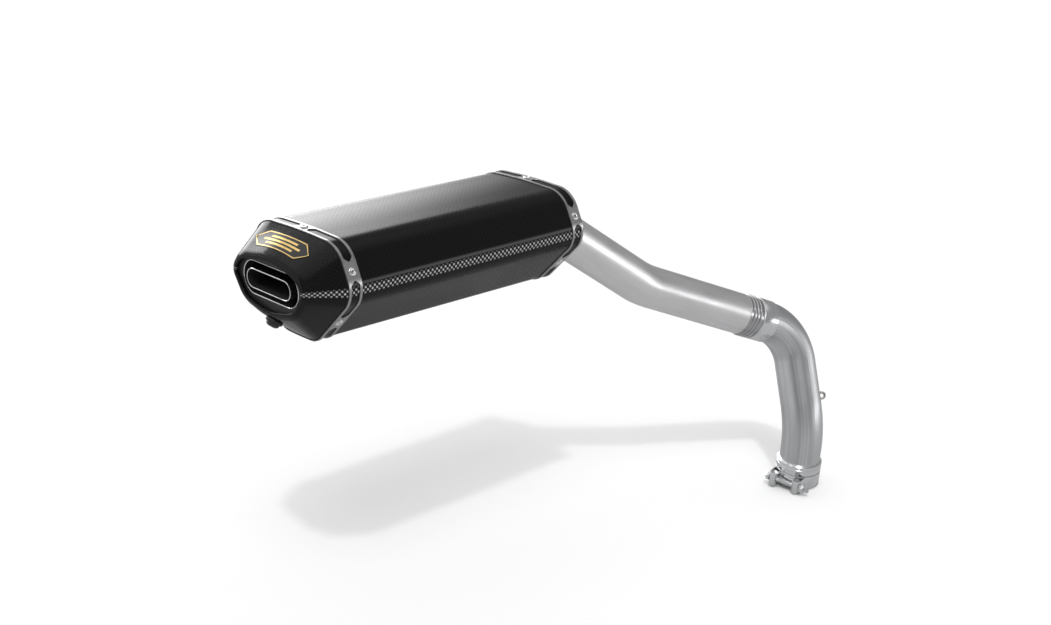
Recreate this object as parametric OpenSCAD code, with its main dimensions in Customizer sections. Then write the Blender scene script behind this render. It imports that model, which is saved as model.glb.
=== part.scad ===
// Motorcycle slip-on racing exhaust: a six-sided carbon muffler on a two-piece steel pipe.
// Origin: centre of the inlet socket's mouth. +X runs forward along the muffler, +Z is up.

/* [Pipe] */
// Outside diameter of both pipes
pipe_od = 54; // [50:1:56]
// Wall thickness of both pipes
pipe_wall = 1.5; // [1.2:0.1:2]
// Centreline radius of the tight elbow
elbow_r = 60; // [56:1:64]
// Centreline radius of the gentle bend above the socket
lower_bend_r = 120; // [90:5:130]
// Centreline radius of the gentle bend behind the muffler
upper_bend_r = 130; // [90:5:160]

/* [Inlet socket] */
// Diameter of the pipe that the socket slides over
socket_bore = 54.2; // [52:0.1:54.6]
// Depth of the socket's bore
socket_depth = 34; // [30:1:36]
// Outside diameter of the machined collar
collar_od = 59.6; // [59:0.1:62]
// Height of the machined collar
collar_h = 14; // [10:1:16]

/* [Middle joint] */
// Length of the bright collar that the upper pipe turns in
slip_len = 24; // [20:1:26]
// Outside diameter of that collar
slip_od = 56.6; // [56:0.1:58]
// Radial running clearance of the joint
slip_clear = 0.05; // [0.03:0.01:0.09]
// Number of rolled ridges on the joint ring
ridge_count = 3; // [2:1:4]

/* [Clamp] */
// Width of the clamp band
clamp_w = 19; // [16:1:20]
// Direction that the clamp's gap faces, about the socket's axis
clamp_angle = 188; // [0:1:359]
// Diameter of the clamp's bolt
clamp_bolt_d = 6; // [5:1:6]

/* [Muffler] */
// Width of the muffler body across its side corners
muffler_w = 169; // [150:1:180]
// Height of the body's top face above its axis
muffler_top = 50; // [46:1:54]
// Depth of the body's bottom face below its axis
muffler_bottom = 67; // [62:1:72]
// Length between the outer edges of the two bands
muffler_len = 340; // [300:5:400]
// Length of the rear cap in front of its band
cap_len = 40; // [36:1:50]
// Width of each band
band_w = 17; // [15:1:20]
// Wall thickness of the carbon sleeve
sleeve_wall = 1.6; // [1.2:0.1:2]

/* [Outlet] */
// Width of the outlet tube
outlet_w = 97; // [92:1:100]
// Height of the outlet tube
outlet_h = 38; // [36:1:40]
// Width of the noise insert's mouth
insert_w = 77; // [70:1:80]
// Height of the noise insert's mouth
insert_h = 22; // [18:1:24]

/* [Hidden] */

// The pipe route as a bender would set it: straight lengths, then [bend angle, heading].
socket_lean = [5, -2.1, 0];
leg_1 = 47.5;
lower_bend = [30.8, 66.5];
leg_2 = 55.5;
elbow_bend = [72.7, 169.3];
leg_3 = 190.5;
upper_bend = [14, -52.9];
leg_4 = 171.8;
mitre_bend = [37.3, 170.1];
muffler_axis = [0, 163, 397];
lip_x = -740;

steel = "#b9bcbf";
bright_steel = "#dfe1e3";
dark_steel = "#7d8184";
carbon = "#17181a";
black_rubber = "#111111";
round_fn = 96;
small_fn = 48;
sweep_fn = 64;
cut = 1;

pipe_r = pipe_od / 2;
bore_r = pipe_r - pipe_wall;
socket_r = socket_bore / 2;
socket_wall_r = 28.7;
elbow_start = socket_depth + 2;
collar_top = clamp_w + 3 + collar_h;
slip_start = 0.5;
slip_end = slip_start + slip_len;
elbow_end = slip_start + 4;
spigot_end = elbow_end + 2;
ring_start = slip_end + 0.3;
ring_len = 21;

// ---- placing along the pipe ----
module in_socket() {
  rotate(socket_lean) children();
}

// Moves children round a bend, so that local Z still runs along the pipe.
module turned(bend_r, bend) {
  rotate(bend[1]) translate([bend_r, 0, 0]) rotate([0, bend[0], 0])
    translate([-bend_r, 0, 0]) rotate(-bend[1]) children();
}

module after_leg_1() { in_socket() translate([0, 0, leg_1]) children(); }
module after_lower_bend() { after_leg_1() turned(lower_bend_r, lower_bend) children(); }
module after_leg_2() { after_lower_bend() translate([0, 0, leg_2]) children(); }

// Local zero is the end of the tight elbow, and local Z runs up the pipe through the joint.
module in_joint(distance) {
  after_leg_2() turned(elbow_r, elbow_bend) translate([0, 0, distance]) children();
}

module after_upper_bend() { in_joint(leg_3) turned(upper_bend_r, upper_bend) children(); }
module at_mitre() { after_upper_bend() translate([0, 0, leg_4]) children(); }

module in_muffler() {
  translate([lip_x, muffler_axis.y, muffler_axis.z]) children();
}

module bar(low, high, r) {
  translate([0, 0, low]) cylinder(r = r, h = high - low, $fn = round_fn);
}

module tube(outer, inner, length) {
  difference() {
    bar(0, length, outer);
    bar(-cut, length + cut, inner);
  }
}

// ---- pipes ----
// A frame along a swept pipe is [centre, side, side, direction of travel].
function stepped(f, d) = [f[0] + f[3] * d, f[1], f[2], f[3]];
function spun(v, axis, a) = v * cos(a) + cross(axis, v) * sin(a) + axis * (axis * v) * (1 - cos(a));
function swung(f, bend_r, bend, share) =
  let (
    a = bend[0] * share, side = f[1] * cos(bend[1]) + f[2] * sin(bend[1]), axis = cross(f[3], side)
  )
  [
    f[0] + side * bend_r * (1 - cos(a)) + f[3] * bend_r * sin(a),
    spun(f[1], axis, a), spun(f[2], axis, a), spun(f[3], axis, a)
  ];
function bent(f, bend_r, bend, steps) = [
  for (k = [1 : steps]) swung(f, bend_r, bend, k / steps)
];
function last_of(list) = list[len(list) - 1];

function circle_at(f, r) = [
  for (k = [0 : sweep_fn - 1])
    let (a = -360 * k / sweep_fn) f[0] + r * (f[1] * cos(a) + f[2] * sin(a))
];

// Closed skin through rings of equal length, where the last ring joins back to the first.
module skin(rings) {
  n = len(rings[0]);
  polyhedron(
    points = [for (r = rings) each r],
    faces = [
      for (j = [0 : len(rings) - 1], i = [0 : n - 1])
        let (a = j * n + i, b = j * n + (i + 1) % n, c = ((j + 1) % len(rings)) * n)
        each [[a, b, c + (i + 1) % n], [a, c + (i + 1) % n, c + i]]
    ]
  );
}

// Hollow pipe through a list of frames, with square ends. Its wall is thicker by extra on each side.
module swept_pipe(frames, extra) {
  skin(concat(
    [for (f = frames) circle_at(f, pipe_r + extra)],
    [for (i = [len(frames) - 1 : -1 : 0]) circle_at(frames[i], bore_r - extra)]
  ));
}

// The whole route as frames, which gives the pipe's direction where it enters the muffler.
function leaned(v) = spun(spun(v, [1, 0, 0], socket_lean.x), [0, 1, 0], socket_lean.y);
socket_frame = [[0, 0, 0], leaned([1, 0, 0]), leaned([0, 1, 0]), leaned([0, 0, 1])];
after_gentle = swung(stepped(socket_frame, leg_1), lower_bend_r, lower_bend, 1);
after_tight = swung(stepped(after_gentle, leg_2), elbow_r, elbow_bend, 1);
entry = swung(stepped(after_tight, leg_3), upper_bend_r, upper_bend, 1);

module elbow_pipe() {
  start = [[0, 0, elbow_start], [1, 0, 0], [0, 1, 0], [0, 0, 1]];
  low = stepped(start, leg_1 - elbow_start);
  gentle = bent(low, lower_bend_r, lower_bend, 6);
  high = stepped(last_of(gentle), leg_2);
  tight = bent(high, elbow_r, elbow_bend, 16);
  finish = stepped(last_of(tight), elbow_end);
  color(steel) in_socket()
    swept_pipe(concat([start, low], gentle, [high], tight, [finish]), 0);
}

// The straight end that turns in the joint is ground to a true cylinder; the rest is swept.
turning_end = 80;
unground = 0.1;
module upper_pipe() {
  overlap = 2;
  start = [[0, 0, 0], [1, 0, 0], [0, 1, 0], [0, 0, 1]];
  low = stepped(start, leg_3 - turning_end + overlap);
  gentle = bent(low, upper_bend_r, upper_bend, 4);
  finish = stepped(last_of(gentle), leg_4 + pipe_r);
  color(steel) {
    in_joint(spigot_end) tube(pipe_r, bore_r, turning_end - spigot_end);
    difference() {
      in_joint(turning_end - overlap) swept_pipe(concat([start, low], gentle, [finish]), unground);
      past_mitre(0);
    }
  }
}

// Half space past the mitre where the pipe meets the muffler's straight inlet.
module past_mitre(gap) {
  at_mitre() rotate(mitre_bend[1]) rotate([0, mitre_bend[0] / 2, 0])
    translate([-2 * pipe_od, -2 * pipe_od, gap]) cube(4 * pipe_od);
}

module inlet_spigot() {
  spigot_len = 55;
  color(steel) difference() {
    intersection() {
      at_mitre() turned(0, mitre_bend) bar(-pipe_od, spigot_len, pipe_r);
      past_mitre(0.1);
    }
    at_mitre() turned(0, mitre_bend) bar(-pipe_od - cut, spigot_len + cut, bore_r);
  }
}

// ---- inlet socket ----
module socket_collar() {
  slit_w = 3;
  slit_h = clamp_w + 1;
  collar_base = clamp_w + 3;
  bevel = 2.2;
  collar_r = collar_od / 2;
  color(bright_steel) in_socket() difference() {
    rotate_extrude($fn = round_fn) polygon([
      [socket_r, 0], [socket_wall_r, 0], [socket_wall_r, collar_base - 0.8],
      [collar_r - 0.6, collar_base - 0.8], [collar_r, collar_base], [collar_r, collar_top - bevel],
      [collar_r - bevel, collar_top], [pipe_r, collar_top], [pipe_r, elbow_start],
      [bore_r, elbow_start], [bore_r, socket_depth], [socket_r, socket_depth]
    ]);
    for (angle = [45, 135])
      rotate(angle) translate([-collar_od, -slit_w / 2, -cut])
        cube([2 * collar_od, slit_w, slit_h + cut]);
  }
}

// Wire loop that takes a retaining spring, in a plane along the pipe.
module spring_hook() {
  wire_r = 1.6;
  loop_r = 4;
  leg = 2.4;
  facing = -45;
  color(dark_steel) after_lower_bend() translate([0, 0, 6]) rotate(facing) difference() {
    translate([pipe_r - 0.4, 0, 0]) rotate([90, 0, 0]) {
      translate([leg, 0, 0]) rotate(-90) rotate_extrude(angle = 180, $fn = round_fn)
        translate([loop_r, 0]) circle(r = wire_r, $fn = small_fn);
      for (side = [-1, 1])
        translate([0, side * loop_r, 0]) rotate([0, 90, 0])
          cylinder(r = wire_r, h = leg, $fn = small_fn);
    }
    bar(-20, 20, pipe_r);
  }
}

// ---- middle joint ----
module slip_collar() {
  color(bright_steel) in_joint(slip_start) difference() {
    cylinder(d = slip_od, h = slip_len, $fn = round_fn);
    bar(-cut, slip_len + cut, pipe_r);
    bar(elbow_end - slip_start, slip_len + cut, pipe_r + slip_clear);
  }
}

// Graphite ring between the two pipe ends.
module joint_seal() {
  color(black_rubber) in_joint(elbow_end)
    tube(pipe_r, bore_r, spigot_end - elbow_end - 0.4);
}

module joint_ring() {
  pitch = ring_len / (ridge_count + 1);
  ridge_r = 2.4;
  land = 0.5;
  color(dark_steel) in_joint(ring_start) rotate_extrude($fn = round_fn) difference() {
    union() {
      translate([pipe_r, 0]) square([land, ring_len]);
      for (i = [1 : ridge_count])
        translate([pipe_r + land - 0.6, i * pitch]) circle(r = ridge_r, $fn = small_fn);
    }
    translate([pipe_r - 10, -cut]) square([10, ring_len + 2 * cut]);
  }
}

// ---- T-bolt clamp ----
clamp_in_r = socket_wall_r + 0.1;
clamp_out_r = clamp_in_r + 1;
loop_y = 17;
loop_x = 35;
trunnion_r = 4.6;
strap = 1;
loop_out_r = trunnion_r + strap;
gap_half = loop_y - loop_out_r;
bolt_r = clamp_bolt_d / 2;
nut_gap = 0.3;

module in_clamp() {
  in_socket() rotate(clamp_angle) translate([0, 0, 1]) children();
}

module along_bolt(y) {
  translate([loop_x, y, clamp_w / 2]) rotate([-90, 0, 0]) children();
}

module clamp_band() {
  color(bright_steel) in_clamp() difference() {
    union() {
      difference() {
        cylinder(r = clamp_out_r, h = clamp_w, $fn = round_fn);
        translate([0, -gap_half, -cut]) cube([2 * clamp_out_r, 2 * gap_half, clamp_w + 2 * cut]);
      }
      for (side = [-1, 1]) translate([loop_x, side * loop_y, 0])
        cylinder(r = loop_out_r, h = clamp_w, $fn = small_fn);
      for (side = [-1, 1], y = [loop_y - loop_out_r, loop_y + loop_out_r - strap])
        translate([clamp_in_r * cos(45), side > 0 ? y : -y - strap, 0])
          cube([loop_x - clamp_in_r * cos(45), strap, clamp_w]);
    }
    translate([0, 0, -cut]) cylinder(r = clamp_in_r, h = clamp_w + 2 * cut, $fn = round_fn);
    for (side = [-1, 1]) translate([loop_x, side * loop_y, -cut])
      cylinder(r = trunnion_r, h = clamp_w + 2 * cut, $fn = small_fn);
    for (side = [-1, 1]) translate([loop_x - 8, side * loop_y - loop_out_r + strap, -cut])
      cube([8, 2 * (loop_out_r - strap), clamp_w + 2 * cut]);
    along_bolt(-40) cylinder(r = bolt_r + 0.6, h = 80, $fn = small_fn);
  }
}

// Tongue under the clamp's gap.
module clamp_bridge() {
  color(bright_steel) in_clamp() intersection() {
    tube(clamp_in_r + 0.6, clamp_in_r, clamp_w);
    translate([0, -gap_half, -cut]) cube([2 * clamp_out_r, 2 * gap_half, clamp_w + 2 * cut]);
  }
}

module clamp_trunnions() {
  color(bright_steel) in_clamp() difference() {
    for (side = [-1, 1]) translate([loop_x, side * loop_y, 0])
      cylinder(r = trunnion_r, h = clamp_w, $fn = small_fn);
    along_bolt(-40) cylinder(r = bolt_r, h = 80, $fn = small_fn);
  }
}

module clamp_bolt() {
  head_h = 4;
  head_y = -loop_y - loop_out_r - head_h;
  bolt_len = 62;
  color(bright_steel) in_clamp() {
    along_bolt(head_y) cylinder(r = 5.5, h = head_h, $fn = 6);
    along_bolt(head_y + head_h) cylinder(r = bolt_r, h = bolt_len - head_h, $fn = small_fn);
  }
}

module clamp_nut() {
  nut_h = 6;
  color(bright_steel) in_clamp() along_bolt(loop_y + loop_out_r + nut_gap) difference() {
    union() {
      cylinder(r = 5.8, h = nut_h, $fn = 6);
      cylinder(r = 6.2, h = 1, $fn = small_fn);
    }
    translate([0, 0, -cut]) cylinder(r = bolt_r + 0.06, h = nut_h + 2 * cut, $fn = small_fn);
  }
}

// ---- outlines across the muffler ----
// A half outline is a list of [y, z, corner radius] from top centre to bottom centre.
half_w = muffler_w / 2;
body_half = [
  [0, muffler_top, 700], [0.777 * half_w, muffler_top - 2.2, 33], [1.077 * half_w, -2.4, 28],
  [0.345 * half_w, -muffler_bottom + 0.9, 24], [0, -muffler_bottom, 500]
];
lip_half = [[0, 31, 120], [50, 21, 30], [66, 1, 14], [46, -28, 30], [0, -39, 90]];
neck_half = [[0, 44, 60], [37, 32, 26], [48, -4, 22], [32, -37, 26], [0, -47, 60]];

function whole(half) = concat(half, [for (i = [3 : -1 : 1]) [-half[i][0], half[i][1], half[i][2]]]);
body_outline = whole(body_half);
lip_outline = whole(lip_half);
neck_outline = whole(neck_half);

function unit(v) = v / norm(v);
function flat(corner) = [corner[0], corner[1]];
function left_of(v) = [-v.y, v.x];
function edge_out(c, i) = left_of(unit(flat(c[(i + 1) % len(c)]) - flat(c[i])));
function corner_out(c, i) =
  let (before = edge_out(c, (i + len(c) - 1) % len(c)), after = edge_out(c, i))
  (before + after) / (1 + before * after);

// The outline moved inwards by depth, with its corner radii kept parallel.
function inset(c, depth) = [
  for (i = [0 : len(c) - 1])
    let (p = flat(c[i]) - depth * corner_out(c, i)) [p.x, p.y, max(c[i][2] - depth, 1)]
];

corner_steps = 7;
function rounded(c) = [
  for (i = [0 : len(c) - 1])
    let (
      before = edge_out(c, (i + len(c) - 1) % len(c)), after = edge_out(c, i), r = c[i][2],
      centre = flat(c[i]) - r * corner_out(c, i), swing = acos(min(1, before * after)),
      from = atan2(before.y, before.x)
    )
    for (k = [0 : corner_steps])
      let (angle = from - swing * k / corner_steps) centre + r * [cos(angle), sin(angle)]
];

// Points a share t of the way from one outline to another, both moved inwards by depth.
function blend(c1, c2, t, depth = 0) =
  rounded(inset(c1, depth)) * (1 - t) + rounded(inset(c2, depth)) * t;

function at_x(x, points) = [for (p = points) [x, p.x, p.y]];
function ring(x, c) = at_x(x, rounded(c));

module sheet(points, low, high) {
  translate([low, 0, 0]) rotate([90, 0, 90]) linear_extrude(high - low) polygon(points);
}

module slab(outline, low, high) {
  sheet(rounded(outline), low, high);
}

module shell(outer, inner, low, high) {
  difference() {
    slab(outer, low, high);
    slab(inner, low - cut, high + cut);
  }
}

// Closed solid through rings that all have the same number of points.
module loft(rings) {
  n = len(rings[0]);
  last = len(rings) - 1;
  polyhedron(
    points = [for (r = rings) each r],
    faces = concat(
      [[for (i = [n - 1 : -1 : 0]) i], [for (i = [0 : n - 1]) last * n + i]],
      [
        for (j = [0 : last - 1], i = [0 : n - 1])
          let (a = j * n + i, b = j * n + (i + 1) % n)
          each [[a, b, b + n], [a, b + n, a + n]]
      ]
    )
  );
}

module stadium(w, h) {
  square([w - h, h], center = true);
  for (side = [-1, 1])
    translate([side * (w - h) / 2, 0]) circle(d = h, $fn = small_fn);
}

outlet_z = -2;

module stadium_bar(w, h, low, high) {
  translate([low, 0, outlet_z]) rotate([90, 0, 90]) linear_extrude(high - low) stadium(w, h);
}

module stadium_tube(w, h, wall, low, high) {
  difference() {
    stadium_bar(w, h, low, high);
    stadium_bar(w - 2 * wall, h - 2 * wall, low - cut, high + cut);
  }
}

// ---- bands and rivets ----
seal_t = 0.3;
band_t = 1;
seam = 0.3;
front_band_x = cap_len + muffler_len - band_w;
rivet_r = 2.4;
rivet_head_r = 4.6;
skirt_inset = sleeve_wall + 0.05;
skirt_wall = 2;

// Rivet seats on the body: [y, z, outward direction].
function on_edge(i, share) =
  flat(body_outline[i]) * (1 - share) + flat(body_outline[i + 1]) * share;
right_seats = [
  [on_edge(1, 0.52), edge_out(body_outline, 1)], [on_edge(2, 0.56), edge_out(body_outline, 2)]
];
rivet_seats = concat(
  [[[0, muffler_top], [0, 1]], [[0, -muffler_bottom], [0, -1]]],
  right_seats,
  [for (s = right_seats) [[-s[0].x, s[0].y], [-s[1].x, s[1].y]]]
);

module at_rivets(x) {
  for (s = rivet_seats)
    translate([x, s[0].x, s[0].y]) rotate([atan2(-s[1].x, s[1].y), 0, 0]) children();
}

module rivet_holes(x) {
  at_rivets(x) translate([0, 0, -8]) cylinder(r = rivet_r, h = 12, $fn = 24);
}

module rivets(x) {
  stem = 5;
  head_h = 1.3;
  color(bright_steel) at_rivets(x) translate([0, 0, seal_t + band_t]) difference() {
    rotate_extrude($fn = small_fn) polygon([
      [0, -stem], [rivet_r, -stem], [rivet_r, 0], [rivet_head_r, 0],
      [rivet_head_r - 0.5, head_h * 0.6], [rivet_head_r - 1.6, head_h], [0, head_h]
    ]);
    translate([0, 0, -1.2]) cylinder(r = 1.3, h = 4, $fn = 24);
  }
}

// Windows in a band, each given by the two directions it runs between.
window_rail = 3;
window_ends = [[80, 22], [8, -27], [-43, -82]];

module band_windows(x) {
  reach = 140;
  for (side = [-1, 1], w = window_ends)
    translate([x + window_rail, 0, 0]) rotate([90, 0, 90])
      linear_extrude(band_w - 2 * window_rail)
        polygon(concat([[0, 0]], [
          for (k = [0 : 3])
            let (angle = w[0] + (w[1] - w[0]) * k / 3) reach * [side * cos(angle), sin(angle)]
        ]));
}

module band(x) {
  color(bright_steel) difference() {
    shell(inset(body_outline, -seal_t - band_t), inset(body_outline, -seal_t), x, x + band_w);
    band_windows(x);
    rivet_holes(x + band_w / 2);
  }
}

module band_seal(x) {
  overhang = 0.8;
  color(black_rubber) difference() {
    shell(inset(body_outline, -seal_t), body_outline, x - overhang, x + band_w + overhang);
    rivet_holes(x + band_w / 2);
  }
}

module rear_band() { in_muffler() band(cap_len); }
module front_band() { in_muffler() band(front_band_x); }
module rear_band_seal() { in_muffler() band_seal(cap_len); }
module front_band_seal() { in_muffler() band_seal(front_band_x); }
module rear_band_rivets() { in_muffler() rivets(cap_len + band_w / 2); }
module front_band_rivets() { in_muffler() rivets(front_band_x + band_w / 2); }

// ---- muffler body ----
sleeve_from = cap_len + 2;
sleeve_to = front_band_x + band_w - 2;
sleeve_inside = inset(body_outline, sleeve_wall);

module outer_sleeve() {
  color(carbon) in_muffler() difference() {
    shell(body_outline, sleeve_inside, sleeve_from, sleeve_to);
    rivet_holes(cap_len + band_w / 2);
    rivet_holes(front_band_x + band_w / 2);
  }
}

// Outline of the rear cap at a distance x from the lip, inset by depth.
function cap_points(x, depth = 0) = blend(lip_outline, body_outline, x / cap_len, depth);

lip_round = 4;
cap_wall = 2.5;
lip_w = 7;
skirt_to = cap_len + band_w + 3;

module rear_cap() {
  skirt = inset(body_outline, skirt_inset);
  skirt_inside = inset(body_outline, skirt_inset + skirt_wall);
  outside = concat(
    [
      for (angle = [0 : 30 : 60])
        let (x = lip_round * (1 - cos(angle)))
        at_x(x, cap_points(x, lip_round * (1 - sin(angle))))
    ],
    [for (x = [lip_round, cap_len * 0.4, cap_len * 0.7]) at_x(x, cap_points(x))],
    [
      ring(cap_len, body_outline), ring(sleeve_from - seam, body_outline),
      ring(sleeve_from - seam, skirt), ring(skirt_to, skirt)
    ]
  );
  inside = [
    at_x(-cut, cap_points(0, lip_w)), at_x(5, cap_points(5, lip_w)),
    at_x(7, cap_points(7, cap_wall + 0.5)), at_x(cap_len - 2, cap_points(cap_len, skirt_wall + 2)),
    ring(skirt_to + cut, skirt_inside)
  ];
  color(carbon) in_muffler() difference() {
    loft(outside);
    loft(inside);
    rivet_holes(cap_len + band_w / 2);
    in_screw() cylinder(r = screw_r + 0.6, h = 12, center = true, $fn = small_fn);
  }
}

// Ring round the hole that the entering pipe makes in the wall at x, one point per outline point.
function pipe_hole(x, outline) =
  let (
    to_wall = (x + lip_x - entry[0].x) / entry[3].x,
    centre = [entry[0].y + entry[3].y * to_wall - muffler_axis.y,
              entry[0].z + entry[3].z * to_wall - muffler_axis.z]
  )
  [
    for (p = rounded(outline))
      let (e = unit(p - centre), slant = e * [entry[3].y, entry[3].z])
      concat([x], centre + e * (pipe_r + 5 * unground) / sqrt(1 - slant * slant))
  ];

module front_cap() {
  wall = 1.5;
  skirt = inset(body_outline, skirt_inset);
  skirt_inside = inset(body_outline, skirt_inset + wall);
  skirt_from = front_band_x - 1;
  flange_x = sleeve_to + seam;
  edge_x = cap_len + muffler_len;
  neck_x = edge_x + 20;
  // [distance past the band, share of the way to the neck]
  taper = [[8, 0.52], [15, 0.85]];
  outside = concat(
    [ring(skirt_from, skirt), ring(flange_x, skirt), ring(flange_x, body_outline),
     ring(edge_x, body_outline)],
    [for (t = taper) at_x(edge_x + t[0], blend(body_outline, neck_outline, t[1]))],
    [ring(neck_x, neck_outline), pipe_hole(neck_x, neck_outline)]
  );
  inside = concat(
    [pipe_hole(neck_x - wall, neck_outline), ring(neck_x - wall, inset(neck_outline, wall))],
    [
      for (i = [1, 0])
        at_x(edge_x + taper[i][0] - 1, blend(body_outline, neck_outline, taper[i][1], wall))
    ],
    [ring(edge_x - 1, skirt_inside), ring(skirt_from, skirt_inside)]
  );
  color(steel) in_muffler() difference() {
    skin(concat(outside, inside));
    rivet_holes(front_band_x + band_w / 2);
  }
}

// ---- inside the muffler ----
core_bore = pipe_r + 0.4;
core_r = core_bore + 1;
core_from = 100;
core_to = 352;
plate_t = 1.5;

module along_core(low, high, r) {
  translate([low, 0, 0]) rotate([0, 90, 0]) cylinder(r = r, h = high - low, $fn = round_fn);
}

module perforated_core() {
  hole_r = 2.2;
  rows = 6;
  row_pitch = (core_to - core_from - 60) / rows;
  color(steel) in_muffler() difference() {
    along_core(core_from, core_to, core_r);
    along_core(core_from - cut, core_to + cut, core_bore);
    for (row = [0 : rows - 1], k = [0 : 3])
      translate([core_from + 14 + row * row_pitch, 0, 0]) rotate([45 * k + 22.5 * (row % 2), 0, 0])
        cylinder(r = hole_r, h = 3 * core_r, center = true, $fn = 24);
  }
}

module packing_wool() {
  color("#d8cfae") in_muffler() difference() {
    slab(inset(body_outline, sleeve_wall + 0.4), core_from + plate_t + 1, core_to - plate_t - 3);
    along_core(core_from, core_to, core_r + 0.2);
  }
}

module core_plate(x) {
  color(steel) in_muffler() difference() {
    slab(sleeve_inside, x, x + plate_t);
    along_core(x - cut, x + plate_t + cut, core_r);
  }
}

module baffle_plate() { core_plate(core_from); }
module front_plate() { core_plate(core_to - plate_t); }

rear_plate_x = cap_len + band_w + 1;
outlet_wall = 1.2;

module rear_plate() {
  color(steel) in_muffler() difference() {
    slab(inset(body_outline, skirt_inset + skirt_wall + 0.25), rear_plate_x, rear_plate_x + 2);
    stadium_bar(insert_w + 4, insert_h + 4, rear_plate_x - cut, rear_plate_x + 2 + cut);
  }
}

// ---- outlet ----
outlet_rim_x = 4.5;
faceplate_x = 5;
faceplate_t = 1.2;
insert_rim_x = 1.5;
insert_wall = 1.2;
insert_end = 94;

module outlet_tube() {
  color(bright_steel) in_muffler() difference() {
    stadium_tube(outlet_w, outlet_h, outlet_wall, outlet_rim_x, rear_plate_x);
    in_screw() bar(-40, 0, screw_r + 0.5);
  }
}

module outlet_faceplate() {
  color(dark_steel) in_muffler() difference() {
    sheet(cap_points(faceplate_x, lip_w + 0.1), faceplate_x, faceplate_x + faceplate_t);
    stadium_bar(outlet_w, outlet_h, 0, 2 * faceplate_x);
  }
}

// The insert's seat is a flange that stops against the rear plate.
module noise_insert() {
  seat_gap = 0.3;
  seat_t = 2.4;
  seat_x = rear_plate_x - seat_gap - seat_t;
  side_gap = 0.3;
  key_w = 9;
  color(bright_steel) in_muffler() difference() {
    union() {
      stadium_bar(insert_w, insert_h, insert_rim_x, insert_end);
      stadium_bar(outlet_w - 2 * outlet_wall - 2 * side_gap, outlet_h - 2 * outlet_wall - 2 * side_gap,
                  seat_x, seat_x + seat_t);
    }
    stadium_bar(insert_w - 2 * insert_wall, insert_h - 2 * insert_wall,
                insert_rim_x - cut, insert_end + cut);
    translate([seat_x - cut, -key_w / 2, outlet_z - outlet_h])
      cube([seat_t + 2 * cut, key_w, outlet_h - insert_h / 2]);
  }
}

module insert_diffuser() {
  hole_r = 2.5;
  color(steel) in_muffler() difference() {
    stadium_bar(insert_w - 2 * insert_wall, insert_h - 2 * insert_wall, insert_end - 3, insert_end - 1.5);
    for (y = [-28 : 8 : 28], z = [-4, 4])
      translate([insert_end - 5, y, outlet_z + z]) rotate([0, 90, 0])
        cylinder(r = hole_r, h = 6, $fn = 24);
  }
}

// ---- insert screw ----
// The screw stands square to the cap's sloping underside and points up to the insert.
screw_r = 3;
screw_x = 8.4;
function cap_floor(x) = min([for (p = cap_points(x)) p.y]);
cap_slope = atan2(cap_floor(0) - cap_floor(cap_len), cap_len);
cap_floor_z = cap_floor(screw_x);
grommet_h = 3.5;
boss_top = (outlet_z - outlet_h / 2 - cap_floor_z) / cos(cap_slope);
tip_reach = (outlet_z - insert_h / 2 - cap_floor_z) / cos(cap_slope) - screw_r * tan(cap_slope) - 0.5;

// Local Z points out of the cap, with zero on the cap's underside.
module in_screw() {
  translate([screw_x, 0, cap_floor_z]) rotate([0, 180 + cap_slope, 0]) children();
}

module screw_boss() {
  boss_r = 6.5;
  color(steel) in_muffler() difference() {
    in_screw() bar(-boss_top - 4, -boss_top + 7, boss_r);
    stadium_bar(outlet_w, outlet_h, 0, 60);
    in_screw() bar(-40, 0, screw_r + 0.06);
  }
}

module screw_grommet() {
  grommet_r = 9.5;
  color(black_rubber) in_muffler() in_screw() difference() {
    rotate_extrude($fn = small_fn) polygon([
      [0, 0.15], [grommet_r, 0.15], [grommet_r, 2.2], [grommet_r - 0.8, 3.1], [grommet_r - 2, grommet_h],
      [0, grommet_h]
    ]);
    translate([0, 0, -cut]) cylinder(r = screw_r + 0.08, h = 2 * grommet_h, $fn = small_fn);
  }
}

module insert_screw() {
  head_r = 7.4;
  head_h = 4.2;
  head_foot = grommet_h + 0.1;
  color(black_rubber) in_muffler() in_screw() difference() {
    rotate_extrude($fn = small_fn) polygon([
      [0, -tip_reach], [screw_r - 0.6, -tip_reach], [screw_r, -tip_reach + 0.6],
      [screw_r, head_foot], [head_r, head_foot], [head_r, head_foot + 0.2 * head_h],
      [0.93 * head_r, head_foot + 0.5 * head_h], [0.75 * head_r, head_foot + 0.78 * head_h],
      [0.5 * head_r, head_foot + 0.95 * head_h], [0, head_foot + head_h]
    ]);
    translate([0, 0, head_foot + 1.5]) cylinder(r = 2, h = head_h, $fn = 6);
  }
}

// ---- badge ----
// Height of the cap's top face at a distance x from the lip.
function cap_top(x, y) =
  let (p = cap_points(x), half = corner_steps / 2)
  lookup(abs(y), [for (i = [ceil(half) : corner_steps + 1]) p[i]]);

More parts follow.
